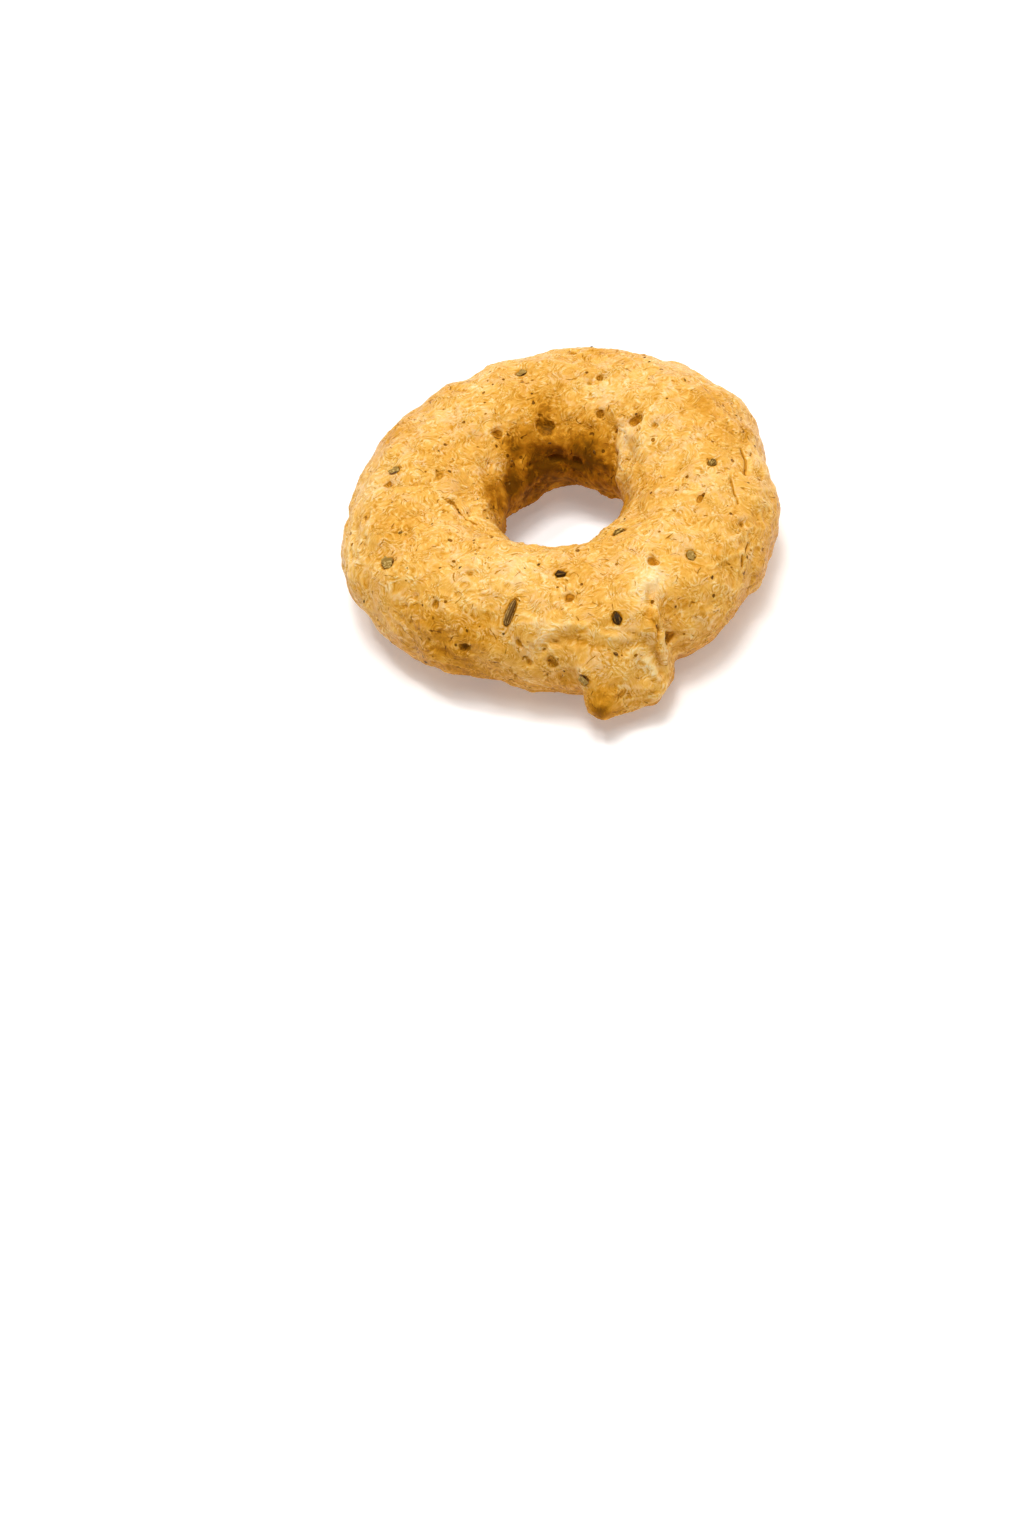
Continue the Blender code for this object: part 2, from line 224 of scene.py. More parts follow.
# Lines of the skin that are too fine for the solid, by the ring and side angles that they pass:
# thin crests, then cracks
LINE_HALF_WIDTH = 0.35 * MM
CRACK_DEPTH = 0.28 * MM
CREST_LINES = (
    ((189, 135), (194, 145), (197, 156)),
    ((173, 52), (170, 65), (165, 74)),
    ((177, 61), (185, 56), (186, 45)),
    ((173, 42), (182, 34), (188, 24)),
    ((152, 156), (167, 163), (177, 168)),
    ((-127, 73), (-125, 81), (-120, 83)),
    ((-20, 43), (-22, 29), (-26, 20)),
    ((-15, 36), (-16, 22), (-20, 15)),
    ((-41, 29), (-45, 17), (-48, 9)),
    ((-38, -6), (-41, -16)),
)
CRACK_LINES = (
    ((177, 113), (181, 123), (191, 131), (196, 138)),
    ((0, 51), (-5, 48), (-11, 49)),
    ((-15, 63), (-21, 57), (-24, 52)),
    ((-39, 28), (-41, 21)),
    ((-34, 28), (-37, 26)),
)
# Pits and blisters are drawn out by up to this share and have ragged rims and steep walls
DRAWN_OUT = (1.0, 1.7)
AXIS_DRAW = 3
RAGGED = 0.35
RAGGED_WIDE = 0.5 * MM
STEEPNESS = 1.5
# Depths of a pit and of a pore that the colours count as 1
PIT_FULL = 0.6 * MM
PORE_FULL = 0.4 * MM
# The crust lies this far inside the solid's relief, so that its wrinkles don't widen the whole
CRUST_INSET = 0.19 * MM
# Pores: small ones all over, and spongy groups of them as (ring angle, side angle) or drawn
PORES = 420
PORE_RADII = (0.22 * MM, 0.45 * MM)
PORE_DEPTH = 0.6
PORE_DRAW = 5
PORE_GROUPS = ((-67, 70), (-69, 56), (-102, 26), (88, 112), (40, 116), (-27, 78))
MORE_PORE_GROUPS = 10
GROUP_PORES = 7
# How far a group spreads, in degrees round the ring and round the rope
GROUP_SPREAD = (5, 11)
# A herb lies in a dent, with a dark ring round it that is partly a stain and partly painted
# contact shadow. Both end at these shares of its half size.
DENT = 0.12 * MM
DENT_FROM = 0.9
DENT_TO = 1.5
STAIN_AND_SHADOW_FROM = 0.95
STAIN_AND_SHADOW_TO = 1.45
HERB_LIFT = 0.32
# Specks of herb too small for the solid
SPECKS = 60
SPECK_SIDES = (-50, 230)
SPECK_LENGTHS = (0.25 * MM, 0.6 * MM)
SPECK_WIDTH = 0.6
SPECK_DRAW = 31
# Where the crust is toasted, or paler if below 0, and where shade or light is painted on it: ring
# angle, side angle, radius, amount
SHADES = (
    (-171, 84, 2.4 * MM, 0.5),
    (-138, 32, 2.4 * MM, 0.8),
    (141, 41, 3.5 * MM, 0.6),
    (16, 59, 3.2 * MM, 0.6),
    (-31, 12, 3.0 * MM, 0.6),
    (-18, 116, 2.2 * MM, 0.5),
    (-82, 50, 2.0 * MM, 0.3),
    (-90, 38, 1.3 * MM, 0.4),
    (-89, -9, 1.5 * MM, 1.8),
    (7, 42, 1.5 * MM, 0.9),
    (84, 110, 2.8 * MM, 0.4),
    # These, down to (37, 112), are painted shade on the hole's wall and its upper slope
    (92, 150, 3.2 * MM, 1.0),
    (46, 160, 2.4 * MM, 1.8),
    (58, 140, 1.6 * MM, 0.8),
    (113, 140, 1.2 * MM, 0.8),
    (129, 168, 1.4 * MM, 0.6),
    (159, 152, 2.2 * MM, 1.9),
    (120, 138, 1.6 * MM, 0.5),
    (88, 116, 1.6 * MM, 1.3),
    (86, 172, 2.2 * MM, 0.7),
    (48, 151, 1.4 * MM, 0.6),
    (37, 112, 2.0 * MM, 0.4),
    (-68, 30, 1.6 * MM, 0.6),
    (-28, 37, 2.6 * MM, 0.2),
    # Painted shade on the front flank
    (-131, 12, 4.0 * MM, 1.1),
    (-55, 18, 3.5 * MM, 0.5),
    # Painted shade on the front of the top
    (-120, 52, 4.0 * MM, 0.3),
    # Painted light on the face of the lip
    (-84, 6, 2.6 * MM, -0.5),
    # Painted shade on the wall of the hole
    (70, 160, 3.0 * MM, 0.8),
    (115, 160, 3.0 * MM, 0.8),
    (65, 64, 3.5 * MM, 0.4),
    (24, 130, 3.2 * MM, -0.3),
    (-65, 61, 1.8 * MM, -1.6),
    (-71, 54, 1.5 * MM, -1.2),
    (-102, 28, 2.4 * MM, -0.2),
    # These two are painted light on the lip's right roll
    (-74, 5, 1.6 * MM, -0.5),
    (-79, -8, 1.1 * MM, -0.6),
    (-172, 36, 2.2 * MM, -0.4),
    (144, 142, 3.5 * MM, -0.3),
    (3, 87, 1.8 * MM, -0.5),
    (-121, 107, 2.6 * MM, -0.5),
    (-23, 85, 2.2 * MM, -0.4),
    (-47, 71, 2.6 * MM, -0.7),
    (-113, 84, 2.6 * MM, -1.0),
    (166, 58, 3.0 * MM, -0.8),
    (-8, 113, 2.4 * MM, -0.7),
    (56, 102, 2.2 * MM, -0.6),
    (125, 115, 2.0 * MM, -0.5),
)
SHADE_NOISE_WIDE = 7.0 * MM
SHADE_NOISE = 0.4
# The crust is browner below, partly from toasting and partly as painted shade, and darker still on
# the hole's wall as painted shade
LOW_FROM = 9.5 * MM
LOW_FULL = 1.5 * MM
LOW_SHADE = 1.0
HOLE_FROM = 2.5 * MM
HOLE_FULL = 6.5 * MM
HOLE_TOP = 10.2 * MM
HOLE_SHADE = 1.3


def ease(value, start, end):
    """0 before start, 1 after end and a smooth rise between them."""
    share = min(1.0, max(0.0, (value - start) / (end - start)))
    return share * share * (3 - 2 * share)


def bump(angle, centre, spread):
    """1 at centre and fading with spread, for angles in degrees that wrap."""
    away = (angle - centre + 180) % 360 - 180
    return math.exp(-((away / spread) ** 2))


def swell(turn, swells):
    return sum(height * bump(turn, at, spread) for at, height, spread in swells)


def end_scale(turn):
    """How much of its full section the rope has near its two rounded ends."""
    left = min(turn - INNER_END, OUTER_END - turn) / END_CAP
    if left >= 1:
        return 1.0
    return max(0.0, 1 - (1 - left) ** END_BLUNTNESS) ** (1 / END_BLUNTNESS)


def boxed_circle(side, added):
    """A point of a unit circle whose outer half is swollen towards a square by added."""
    across, upward = math.cos(side), math.sin(side)
    boxiness = 2 + added * max(0, across)
    total = (abs(across) ** boxiness + abs(upward) ** boxiness) ** (1 / boxiness)
    return across / total, upward / total


def point_on_rope(turn, side):
    """The point at a ring angle and a side angle. Past STRAIGHT_FROM the rope runs straight."""
    outer = swell(turn, OUTER_SWELLS)
    inner = swell(turn, INNER_SWELLS)
    tuck = 1 - ease(turn, INNER_END, TUCK_END)
    flare = ease(turn, FLARE_FROM, FLARE_FULL)
    scale = end_scale(turn)
    radius = RING_RADIUS + (outer - inner) / 2 - TUCK_IN * tuck
    half_width = ROPE_HALF_WIDTH + (outer + inner) / 2 - TUCK_NARROWING * tuck
    half_width = (half_width - FLARE_NARROWING * flare) * scale
    half_height = (ROPE_HALF_HEIGHT - TUCK_LOWERING * tuck) * scale
    bend = math.radians(min(turn, STRAIGHT_FROM))
    straight = math.radians(max(0, turn - STRAIGHT_FROM)) * RING_RADIUS
    out = Vector((math.cos(bend), math.sin(bend), 0))
    along = Vector((-math.sin(bend), math.cos(bend), 0))
    across, upward = boxed_circle(math.radians(side), FLARE_BOXINESS * flare)
    reach = radius + half_width * across
    height = ROPE_MIDDLE + half_height * upward
    return out * reach + along * straight + Vector((0, 0, height))


def add_rope(bm):
    """The rope as rings of vertices bridged by faces, closed at both ends."""
    count = round((OUTER_END - INNER_END) / STATION_STEP)
    rings = []
    for k in range(1, count):
        turn = INNER_END + (OUTER_END - INNER_END) * k / count
        sides = (360 * n / SIDE_STEPS for n in range(SIDE_STEPS))
        rings.append([bm.verts.new(point_on_rope(turn, side)) for side in sides])
    for first, second in zip(rings, rings[1:]):
        for k in range(SIDE_STEPS):
            after = (k + 1) % SIDE_STEPS
            bm.faces.new((first[k], second[k], second[after], first[after]))
    bm.faces.new(rings[0])
    bm.faces.new(reversed(rings[-1]))


def add_lip(bm):
    """A rounded, sheared block: a sphere pushed out towards the corners of a box."""
    angles = (LIP_LEAN, LIP_SLOPE, LIP_ROLL, LIP_SWING)
    lean, slope, roll, swing = (math.radians(angle) for angle in angles)
    along = Vector((math.cos(swing), math.sin(swing), -math.sin(roll))) * LIP_HALF_LENGTH
    out = Vector((0, -math.cos(slope), -math.sin(slope))) * LIP_HALF_DEPTH
    up = Vector((0, math.sin(lean), math.cos(lean))) * LIP_HALF_FACE
    middle = Vector(LIP_FACE_MIDDLE) - out
    made = bmesh.ops.create_icosphere(bm, subdivisions=4, radius=1)
    for vert in made["verts"]:
        total = sum(abs(part) ** LIP_BOXINESS for part in vert.co)
        unit = vert.co / total ** (1 / LIP_BOXINESS)
        vert.co = middle - along * unit.x + out * unit.y + up * unit.z


def linked_object(name, bm):
    mesh = bpy.data.meshes.new(name)
    bm.to_mesh(mesh)
    bm.free()
    obj = bpy.data.objects.new(name, mesh)
    bpy.context.scene.collection.objects.link(obj)
    return obj


def apply_modifiers(obj):
    """Keep the mesh that the modifiers make and drop the modifiers."""
    graph = bpy.context.evaluated_depsgraph_get()
    made = bpy.data.meshes.new_from_object(obj.evaluated_get(graph))
    obj.modifiers.clear()
    old = obj.data
    obj.data = made
    bpy.data.meshes.remove(old)


def voxel_remesh(obj, size):
    remesh = obj.modifiers.new("remesh", "REMESH")
    remesh.mode = "VOXEL"
    remesh.voxel_size = size


def dough_body():
    """The rope and its lip, fused and softened as in the solid."""
    bm = bmesh.new()
    add_rope(bm)
    add_lip(bm)
    obj = linked_object("crust", bm)
    voxel_remesh(obj, VOXEL)
    smooth = obj.modifiers.new("soften", "SMOOTH")
    smooth.iterations = SOFTENING
    apply_modifiers(obj)
    return obj


def surface_tree(obj):
    return BVHTree.FromPolygons(
        [vert.co for vert in obj.data.vertices], [face.vertices for face in obj.data.polygons]
    )


def surface_point(tree, turn, side):
    """The crust's point and normal in a direction from the middle of the rope."""
    turn, side = math.radians(turn), math.radians(side)
    out = Vector((math.cos(turn), math.sin(turn), 0))
    start = out * RING_RADIUS + Vector((0, 0, ROPE_MIDDLE))
    aim = out * ROPE_HALF_WIDTH * math.cos(side)
    aim = aim + Vector((0, 0, ROPE_HALF_HEIGHT * math.sin(side)))
    point, normal, _, _ = tree.ray_cast(start, aim.normalized())
    return point, normal


def marks_on(tree):
    """Blisters and pits as (point, radius, height): the named ones, then scattered pits."""
    marks = []
    for turn, side, radius, height in BLISTERS:
        marks.append((surface_point(tree, turn, side)[0], radius, height))
    for turn, side, radius, depth in PITS:
        marks.append((surface_point(tree, turn, side)[0], radius, -depth))
    draw = random.Random(PIT_DRAW)
    for _ in range(MORE_PITS):
        turn, side = draw.uniform(0, 360), draw.uniform(*MORE_PIT_SIDES)
        radius = draw.uniform(*MORE_PIT_RADII)
        point = surface_point(tree, turn, side)[0]
        marks.append((point, radius, -radius * MORE_PIT_DEPTH))
    return marks


def drawn_out(marks):
    """The marks with an axis each, along which they are drawn out."""
    draw = random.Random(AXIS_DRAW)
    longer = []
    for place, radius, height in marks:
        axis = Vector([draw.gauss(0, 1) for _ in range(3)]).normalized()
        share = draw.uniform(*DRAWN_OUT)
        longer.append((place, radius, height, axis * math.sqrt(1 - 1 / share)))
    return longer


def pores_on(tree):
    """Small pores all over, as (point, radius, height)."""
    draw = random.Random(PORE_DRAW)
    places = [(draw.uniform(0, 360), draw.uniform(0, 360)) for _ in range(PORES)]
    groups = list(PORE_GROUPS)
    groups += [(draw.uniform(0, 360), draw.uniform(0, 180)) for _ in range(MORE_PORE_GROUPS)]
    for turn, side in groups:
        for _ in range(GROUP_PORES):
            places.append((draw.gauss(turn, GROUP_SPREAD[0]), draw.gauss(side, GROUP_SPREAD[1])))
    pores = []
    for turn, side in places:
        radius = draw.triangular(*PORE_RADII, PORE_RADII[0])
        pores.append((surface_point(tree, turn, side)[0], radius, -radius * PORE_DEPTH))
    return pores


class Marks:
    """Dents and bumps with ragged rims that can be looked up by place."""

    def __init__(self, marks):
        self.marks = drawn_out(marks)
        self.widest = max(mark[1] for mark in marks) * DRAWN_OUT[1]
        self.near = KDTree(len(marks))
        for index, mark in enumerate(marks):
            self.near.insert(mark[0], index)
        self.near.balance()

    def height(self, point):
        total = 0.0
        ragged = 1 + RAGGED * noise.noise(point / RAGGED_WIDE)
        for _, index, _ in self.near.find_range(point, self.widest):
            place, radius, height, axis = self.marks[index]
            offset = point - place
            offset = offset - axis * offset.dot(axis)
            share = offset.length * ragged / radius
            if share < 1:
                total += height * (1 - share ** 2) ** STEEPNESS
        return total


class Folds:
    """Ridges and grooves that follow lines over the crust."""

    def __init__(self, tree, folds):
        self.lines = []
        for corners, radius, height in folds:
            points = []
            for (turn, side), (next_turn, next_side) in zip(corners, corners[1:]):
                for step in range(FOLD_STEPS):
                    share = step / FOLD_STEPS
                    at = (turn + (next_turn - turn) * share, side + (next_side - side) * share)
                    points.append(surface_point(tree, *at)[0])
            near = KDTree(len(points))
            for index, point in enumerate(points):
                near.insert(point, index)
            near.balance()
            self.lines.append((near, radius, height))

    def height(self, point):
        total = 0.0
        for near, radius, height in self.lines:
            distance = near.find(point)[2]
            if distance < radius:
                total += height * (1 - (distance / radius) ** 2) ** 2
        return total


class Beds:
    """The dents that the herbs lie in."""

    def __init__(self, herbs):
        self.herbs = []
        for place, length, width, _ in herbs:
            self.herbs.append((place.translation, place.inverted(), length / 2, width / 2))

    def reach(self, point):
        """How far the point lies from the nearest herb, as a share of that herb's half size."""
        nearest = STAIN_AND_SHADOW_TO + DENT_TO
        for middle, inverse, half_length, half_width in self.herbs:
            if (point - middle).length < half_length * nearest:
                local = inverse @ point
                share = math.hypot(local.x / half_length, local.y / half_width)
                nearest = min(nearest, share)
        return nearest


def relief_height(point):
    lumps = sum(
        high * noise.noise(point / wide + Vector((start, 0, 0))) for wide, high, start in RELIEF
    )
    return lumps - CRUST_INSET


def unrolled(point):
    """Where the point lies along the rope laid straight, with the rope's twist."""
    turn = math.atan2(-point.x, point.y) + math.pi
    out = math.hypot(point.x, point.y) - RING_RADIUS
    up = point.z - ROPE_MIDDLE
    twist = turn * WRINKLE_TWIST
    across = out * math.cos(twist) - up * math.sin(twist)
    upward = out * math.sin(twist) + up * math.cos(twist)
    return Vector((turn * RING_RADIUS * WRINKLE_STRETCH, across, upward))


def thin_line(value, width):
    """1 where the value is 0, with a smooth fall to 0 at the width."""
    return 1 - ease(abs(value), 0, width)


def wrinkle(point):
    """0 in the valleys and 1 on the crests of the wrinkled skin."""
    place = unrolled(point) / WRINKLE_WIDE
    place = place + noise.noise_vector(place / WARP_WIDE) * WARP
    line = thin_line(noise.noise(place), WRINKLE_THIN)
    fine = thin_line(noise.noise(place * FINER + Vector((9, 4, 2))), WRINKLE_THIN)
    distances, _ = noise.voronoi(place * CELLS)
    cell = thin_line(distances[1] - distances[0], CELL_WALL)
    celled = ease(noise.noise(place / 4 + Vector((1, 7, 3))), -0.2, 0.3)
    return min(1.0, LINE_SHARE * line + FINE_LINE_SHARE * fine + CELL_SHARE * cell * celled)


def shade_places(tree):
    return [
        (surface_point(tree, turn, side)[0], radius, amount)
        for turn, side, radius, amount in SHADES
    ]


def deep_in_hole(point):
    """1 on the wall of the hole, falling to 0 towards the top of the rope."""
    inwards = RING_RADIUS - math.hypot(point.x, point.y)
    return ease(inwards, HOLE_FROM, HOLE_FULL) * (1 - ease(point.z, ROPE_MIDDLE, HOLE_TOP))


def shade_at(point, places):
    """How dark the crust is painted, from its toasting and from painted shade low down and in the
    hole, with some spots of painted shade and of painted light: about 0 where golden, 1 where
    brown and -1 where pale.
    """
    shade = SHADE_NOISE * noise.noise(point / SHADE_NOISE_WIDE + Vector((0, 5.5, 0)))
    # Darker low down, partly toasting and partly painted shade, and darker on the hole's wall as
    # painted shade
    shade += LOW_SHADE * (1 - ease(point.z, LOW_FULL, LOW_FROM))
    shade += HOLE_SHADE * deep_in_hole(point)
    for place, radius, amount in places:
        shade += amount * math.exp(-(((point - place).length / radius) ** 2))
    return shade


def store(mesh, name, values):
    attribute = mesh.attributes.new(name, "FLOAT", "POINT")
    attribute.data.foreach_set("value", values)


def raise_relief(obj, tree, herbs):
    """The solid's relief, then the finer one, kept as attributes for the colours."""
    marks = Marks(marks_on(tree))
    pores = Marks(pores_on(tree))
    folds = Folds(tree, FOLDS)
    crests = Folds(tree, [(line, LINE_HALF_WIDTH, 1) for line in CREST_LINES])
    cracks = Folds(tree, [(line, LINE_HALF_WIDTH, -CRACK_DEPTH) for line in CRACK_LINES])
    beds = Beds(herbs)
    places = shade_places(tree)
    names = ("crest", "hollow", "shade", "stain_and_shadow", "fold")
    found = {name: [] for name in names}
    moved = []
    for vert in obj.data.vertices:
        point = vert.co
        mark = marks.height(point)
        pore = pores.height(point) + cracks.height(point)
        reach = beds.reach(point)
        rough = ROUGH_MEAN + ROUGH_SWING * noise.noise(point / ROUGH_WIDE)
        crest = max(wrinkle(point) * rough, crests.height(point))
        crest = crest * ease(reach, DENT_FROM, DENT_TO)
        fold = folds.height(point)
        height = relief_height(point) + mark + pore + fold
        height += WRINKLE_HIGH * (crest - WRINKLE_LEVEL)
        height -= DENT * (1 - ease(reach, DENT_FROM, DENT_TO))
        moved.append(point + vert.normal * height * ease(point.z, 0, RELIEF_FREE_HEIGHT))
        found["crest"].append(crest)
        found["hollow"].append(-(min(mark, 0) / PIT_FULL + pore / PORE_FULL))
        found["shade"].append(shade_at(point, places))
        found["fold"].append(fold / MM)
        found["stain_and_shadow"].append(1 - ease(reach, STAIN_AND_SHADOW_FROM, STAIN_AND_SHADOW_TO))
    for vert, place in zip(obj.data.vertices, moved):
        vert.co = place
    for name, values in found.items():
        store(obj.data, name, values)


def flatten_base(obj):
    for vert in obj.data.vertices:
        if vert.co.z < FLOOR_SNAP:
            vert.co.z = 0


def refine(obj):
    voxel_remesh(obj, FINE_VOXEL)
    smooth = obj.modifiers.new("soften", "SMOOTH")
    smooth.iterations = FINE_SOFTENING
    apply_modifiers(obj)


def move_into_frame(obj):
    obj.data.transform(Matrix.Translation((*RING_PLACE, 0)))
    obj.data.shade_smooth()


def herb_places():
    """The named herbs, then some scattered over the far outer side."""
    draw = random.Random(HERB_DRAW)
    places = list(HERBS)
    for number in range(MORE_HERBS):
        turn, side = draw.uniform(*MORE_HERB_TURNS), draw.uniform(*MORE_HERB_SIDES)
        length = draw.uniform(*MORE_HERB_LENGTHS)
        kind = HERB_KINDS[number % len(HERB_KINDS)]
        places.append((turn, side, length, MORE_HERB_WIDTH, draw.uniform(0, 180), kind))
    return places


def herb_frame(tree, turn, side, spin):
    """A frame on the crust: X along the herb, Z away from the crust."""
    point, normal = surface_point(tree, turn, side)
    run = Vector((-math.sin(math.radians(turn)), math.cos(math.radians(turn)), 0))
    across = normal.cross(run).normalized()
    run = across.cross(normal)
    place = Matrix((run, across, normal)).transposed().to_4x4()
    place.translation = point
    return place @ Matrix.Rotation(math.radians(spin), 4, "Z")


def herbs_on(tree):
    """Each herb as (frame, length, width, kind), lifted by the relief under it."""
    marks = Marks(marks_on(tree))
    herbs = []
    for turn, side, length, width, spin, kind in herb_places():
        place = herb_frame(tree, turn, side, spin)
        middle = place.translation
        lift = relief_height(middle) + marks.height(middle)
        herbs.append((place @ Matrix.Translation((0, 0, lift)), length, width, kind))
    return herbs


def specks_on(tree):
    """Specks of herb all over, in the form that herbs_on gives."""
    draw = random.Random(SPECK_DRAW)
    specks = []
    for _ in range(SPECKS):
        turn, side = draw.uniform(0, 360), draw.uniform(*SPECK_SIDES)
        place = herb_frame(tree, turn, side, draw.uniform(0, 180))
        lift = relief_height(place.translation)
        length = draw.triangular(*SPECK_LENGTHS, SPECK_LENGTHS[0])
        place = place @ Matrix.Translation((0, 0, lift))
        specks.append((place, length, length * SPECK_WIDTH, "speck"))
    return specks


# Forms of the herbs, as shares of their length or width. Each FINE value scales a noise.
FENNEL_RIBS = 8
FENNEL_RIB_HIGH = 0.09
FENNEL_TAPER = 0.2
FENNEL_FLAT = 0.85
FENNEL_BEND = 0.10
SEED_RIBS = 7
SEED_TAPER = 0.35
SEED_COAT = 0.35
SEED_COAT_ENDS = 0.05
SEED_COAT_FINE = 2.2
FLAKE_RAGGED = 0.6
FLAKE_RAGGED_FINE = 1.7
FLAKE_THICK = 0.08
FLAKE_RAISED = 0.05
FLAKE_CURL = 0.08
FLAKE_CURL_FINE = 1.3
FLAKE_VEINS = 9
FLAKE_VEIN_SLANT = 5


def fennel_point(unit, length, width, number):
    """A slim seed with pointed ends, bent a little and ribbed along its length."""
    rib = math.cos(FENNEL_RIBS * math.atan2(unit.y, unit.x))
    girth = math.sqrt(1 + unit.z ** 2) * (1 - FENNEL_TAPER * unit.z) * (1 + FENNEL_RIB_HIGH * rib)
    bend = FENNEL_BEND * width * (unit.z ** 2)
    x = unit.z * length / 2
    y = unit.x * girth * width / 2 * FENNEL_FLAT
    z = unit.y * girth * width / 2 - bend
    return Vector((x, y, z)), rib


def seed_point(unit, length, width, number):
    """A plump seed, blunt at one end and pointed at the other, with a wrinkled coat."""
    coat = noise.noise(unit * SEED_COAT_FINE + Vector((number, 0, 0)))
    taper = 1 - SEED_TAPER * ease(unit.z, -0.2, 1)
    girth = taper * (1 + SEED_COAT * coat)
    x = unit.z * length / 2 * (1 + SEED_COAT_ENDS * coat)
    rib = math.cos(SEED_RIBS * math.atan2(unit.y, unit.x))
    return Vector((x, unit.x * girth * width / 2, unit.y * girth * width / 2)), coat + rib


def flake_point(unit, length, width, number):
    """A thin curled scrap of leaf with a ragged edge."""
    edge = noise.noise(Vector((unit.x, unit.z, number)) * FLAKE_RAGGED_FINE)
    ragged = 1 + FLAKE_RAGGED * edge
    x = unit.z * ragged * length / 2
    y = unit.x * ragged * width / 2
    across, along = unit.x * FLAKE_CURL_FINE, unit.z * FLAKE_CURL_FINE
    wave = noise.noise(Vector((across, along, number + 5)))
    curl = FLAKE_CURL * width * wave
    z = unit.y * width * FLAKE_THICK + width * FLAKE_RAISED + curl
    vein = math.cos(FLAKE_VEINS * unit.z + FLAKE_VEIN_SLANT * unit.x)
    return Vector((x, y, z)), vein


HERB_SHAPES = {
    "fennel": fennel_point,
    "flake": flake_point,
    "seed": seed_point,
    "dark_seed": seed_point,
    "speck": seed_point,
}
HERB_AROUND = 40
HERB_ALONG = 24
SPECK_AROUND = 8
SPECK_ALONG = 6


def make_herbs(kind, herbs):
    """All herbs of one kind as one piece, with its ribs or veins kept as an attribute."""
    bm = bmesh.new()
    pattern = []
    around, along = (SPECK_AROUND, SPECK_ALONG) if kind == "speck" else (HERB_AROUND, HERB_ALONG)
    for number, (place, length, width, own_kind) in enumerate(herbs):
        if own_kind != kind:
            continue
        lift = Matrix.Identity(4)
        if kind != "flake":
            lift = Matrix.Translation((0, 0, width * (HERB_LIFT - 0.5)))
        made = bmesh.ops.create_uvsphere(bm, u_segments=around, v_segments=along, radius=1)
        for vert in made["verts"]:
            point, line = HERB_SHAPES[kind](vert.co, length, width, number)
            vert.co = place @ lift @ point
            pattern.append(line)
    obj = linked_object(f"herb_{kind}s", bm)
    store(obj.data, "pattern", pattern)
    move_into_frame(obj)
    return obj


# Materials
def shader_of(material):
    material.use_nodes = True
    return material.node_tree.nodes["Principled BSDF"]


class Nodes:
    """Adds shader nodes and links to one material."""

    def __init__(self, material):
        self.tree = material.node_tree

    def add(self, kind, inputs=None, **settings):
        node = self.tree.nodes.new(kind)
        for name, value in settings.items():
            setattr(node, name, value)
        for name, value in (inputs or {}).items():
            socket = node.inputs[name]
            if isinstance(value, bpy.types.NodeSocket):
                self.tree.links.new(value, socket)
            else:
                socket.default_value = value
        return node

    def coordinates(self):
        return self.add("ShaderNodeTexCoord").outputs["Object"]

    def noise(self, wide, detail=3.0, rough=0.55, distortion=0.0, where=None):
        """A noise whose features are as wide as that, in metres."""
        inputs = {
            "Vector": where or self.coordinates(),
            "Scale": 1 / wide,
            "Detail": detail,
            "Roughness": rough,
            "Distortion": distortion,
        }
        return self.add("ShaderNodeTexNoise", inputs).outputs["Fac"]

    def attribute(self, name):
        return self.add("ShaderNodeAttribute", attribute_name=name).outputs["Fac"]

    def ranged(self, value, low, high, to_low=0.0, to_high=1.0, course="SMOOTHSTEP"):
        inputs = {
            "Value": value,
            "From Min": low,
            "From Max": high,
            "To Min": to_low,
            "To Max": to_high,
        }
        return self.add("ShaderNodeMapRange", inputs, interpolation_type=course).outputs[0]

    def math(self, operation, first, second):
        return self.add("ShaderNodeMath", {0: first, 1: second}, operation=operation).outputs[0]

    def vector(self, operation, first, second):
        node = self.add("ShaderNodeVectorMath", {0: first, 1: second}, operation=operation)
        return node.outputs["Vector"]

    def ramp(self, value, stops):
        node = self.add("ShaderNodeValToRGB", {"Fac": value})
        elements = node.color_ramp.elements
        while len(elements) < len(stops):
            elements.new(0.5)
        for element, (place, color) in zip(elements, stops):
            element.position = place
            element.color = color
        return node.outputs["Color"]

    def mixed(self, share, first, second):
        node = self.add("ShaderNodeMix", data_type="RGBA")
        for index, value in ((0, share), (6, first), (7, second)):
            if isinstance(value, bpy.types.NodeSocket):
                self.tree.links.new(value, node.inputs[index])
            else:
                node.inputs[index].default_value = value
        return node.outputs[2]

    def plus(self, total, value, amount):
        """The total with an amount of the value added to it."""
        return self.math("ADD", total, self.math("MULTIPLY", value, amount))

    def link(self, output, socket):
        self.tree.links.new(output, socket)


# The crust's colour by tone, from cream on the crests to deep brown
CRUST_TONES = (
    (0.0, (0.98, 0.79, 0.46, 1)),
    (0.2, (0.94, 0.66, 0.28, 1)),
    (0.4, (0.84, 0.46, 0.092, 1)),
    (0.6, (0.66, 0.28, 0.016, 1)),
    (0.8, (0.40, 0.145, 0.003, 1)),
    (1.0, (0.17, 0.060, 0.001, 1)),
)
# The creamy patches: their colour, width and greatest share
CREAM = (0.86, 0.57, 0.30, 1)
CREAM_WIDE = 1.8 * MM
CREAM_SHARE = 0.40
# Strokes on the crust: their width, and the width and reach of the swirls that draw them out.
# Their crests are painted lighter as highlight and their hollows darker as shade. They are dense
# in some places and faint in others, and fainter still where it is brown.
STROKE_WIDE = 0.45 * MM
SWIRL_WIDE = 2.6 * MM
SWIRL = 7.0 * MM
DENSE_WIDE = 1.1 * MM
FAINT_STROKES = 0.3
BROWN_STROKES = 0.35
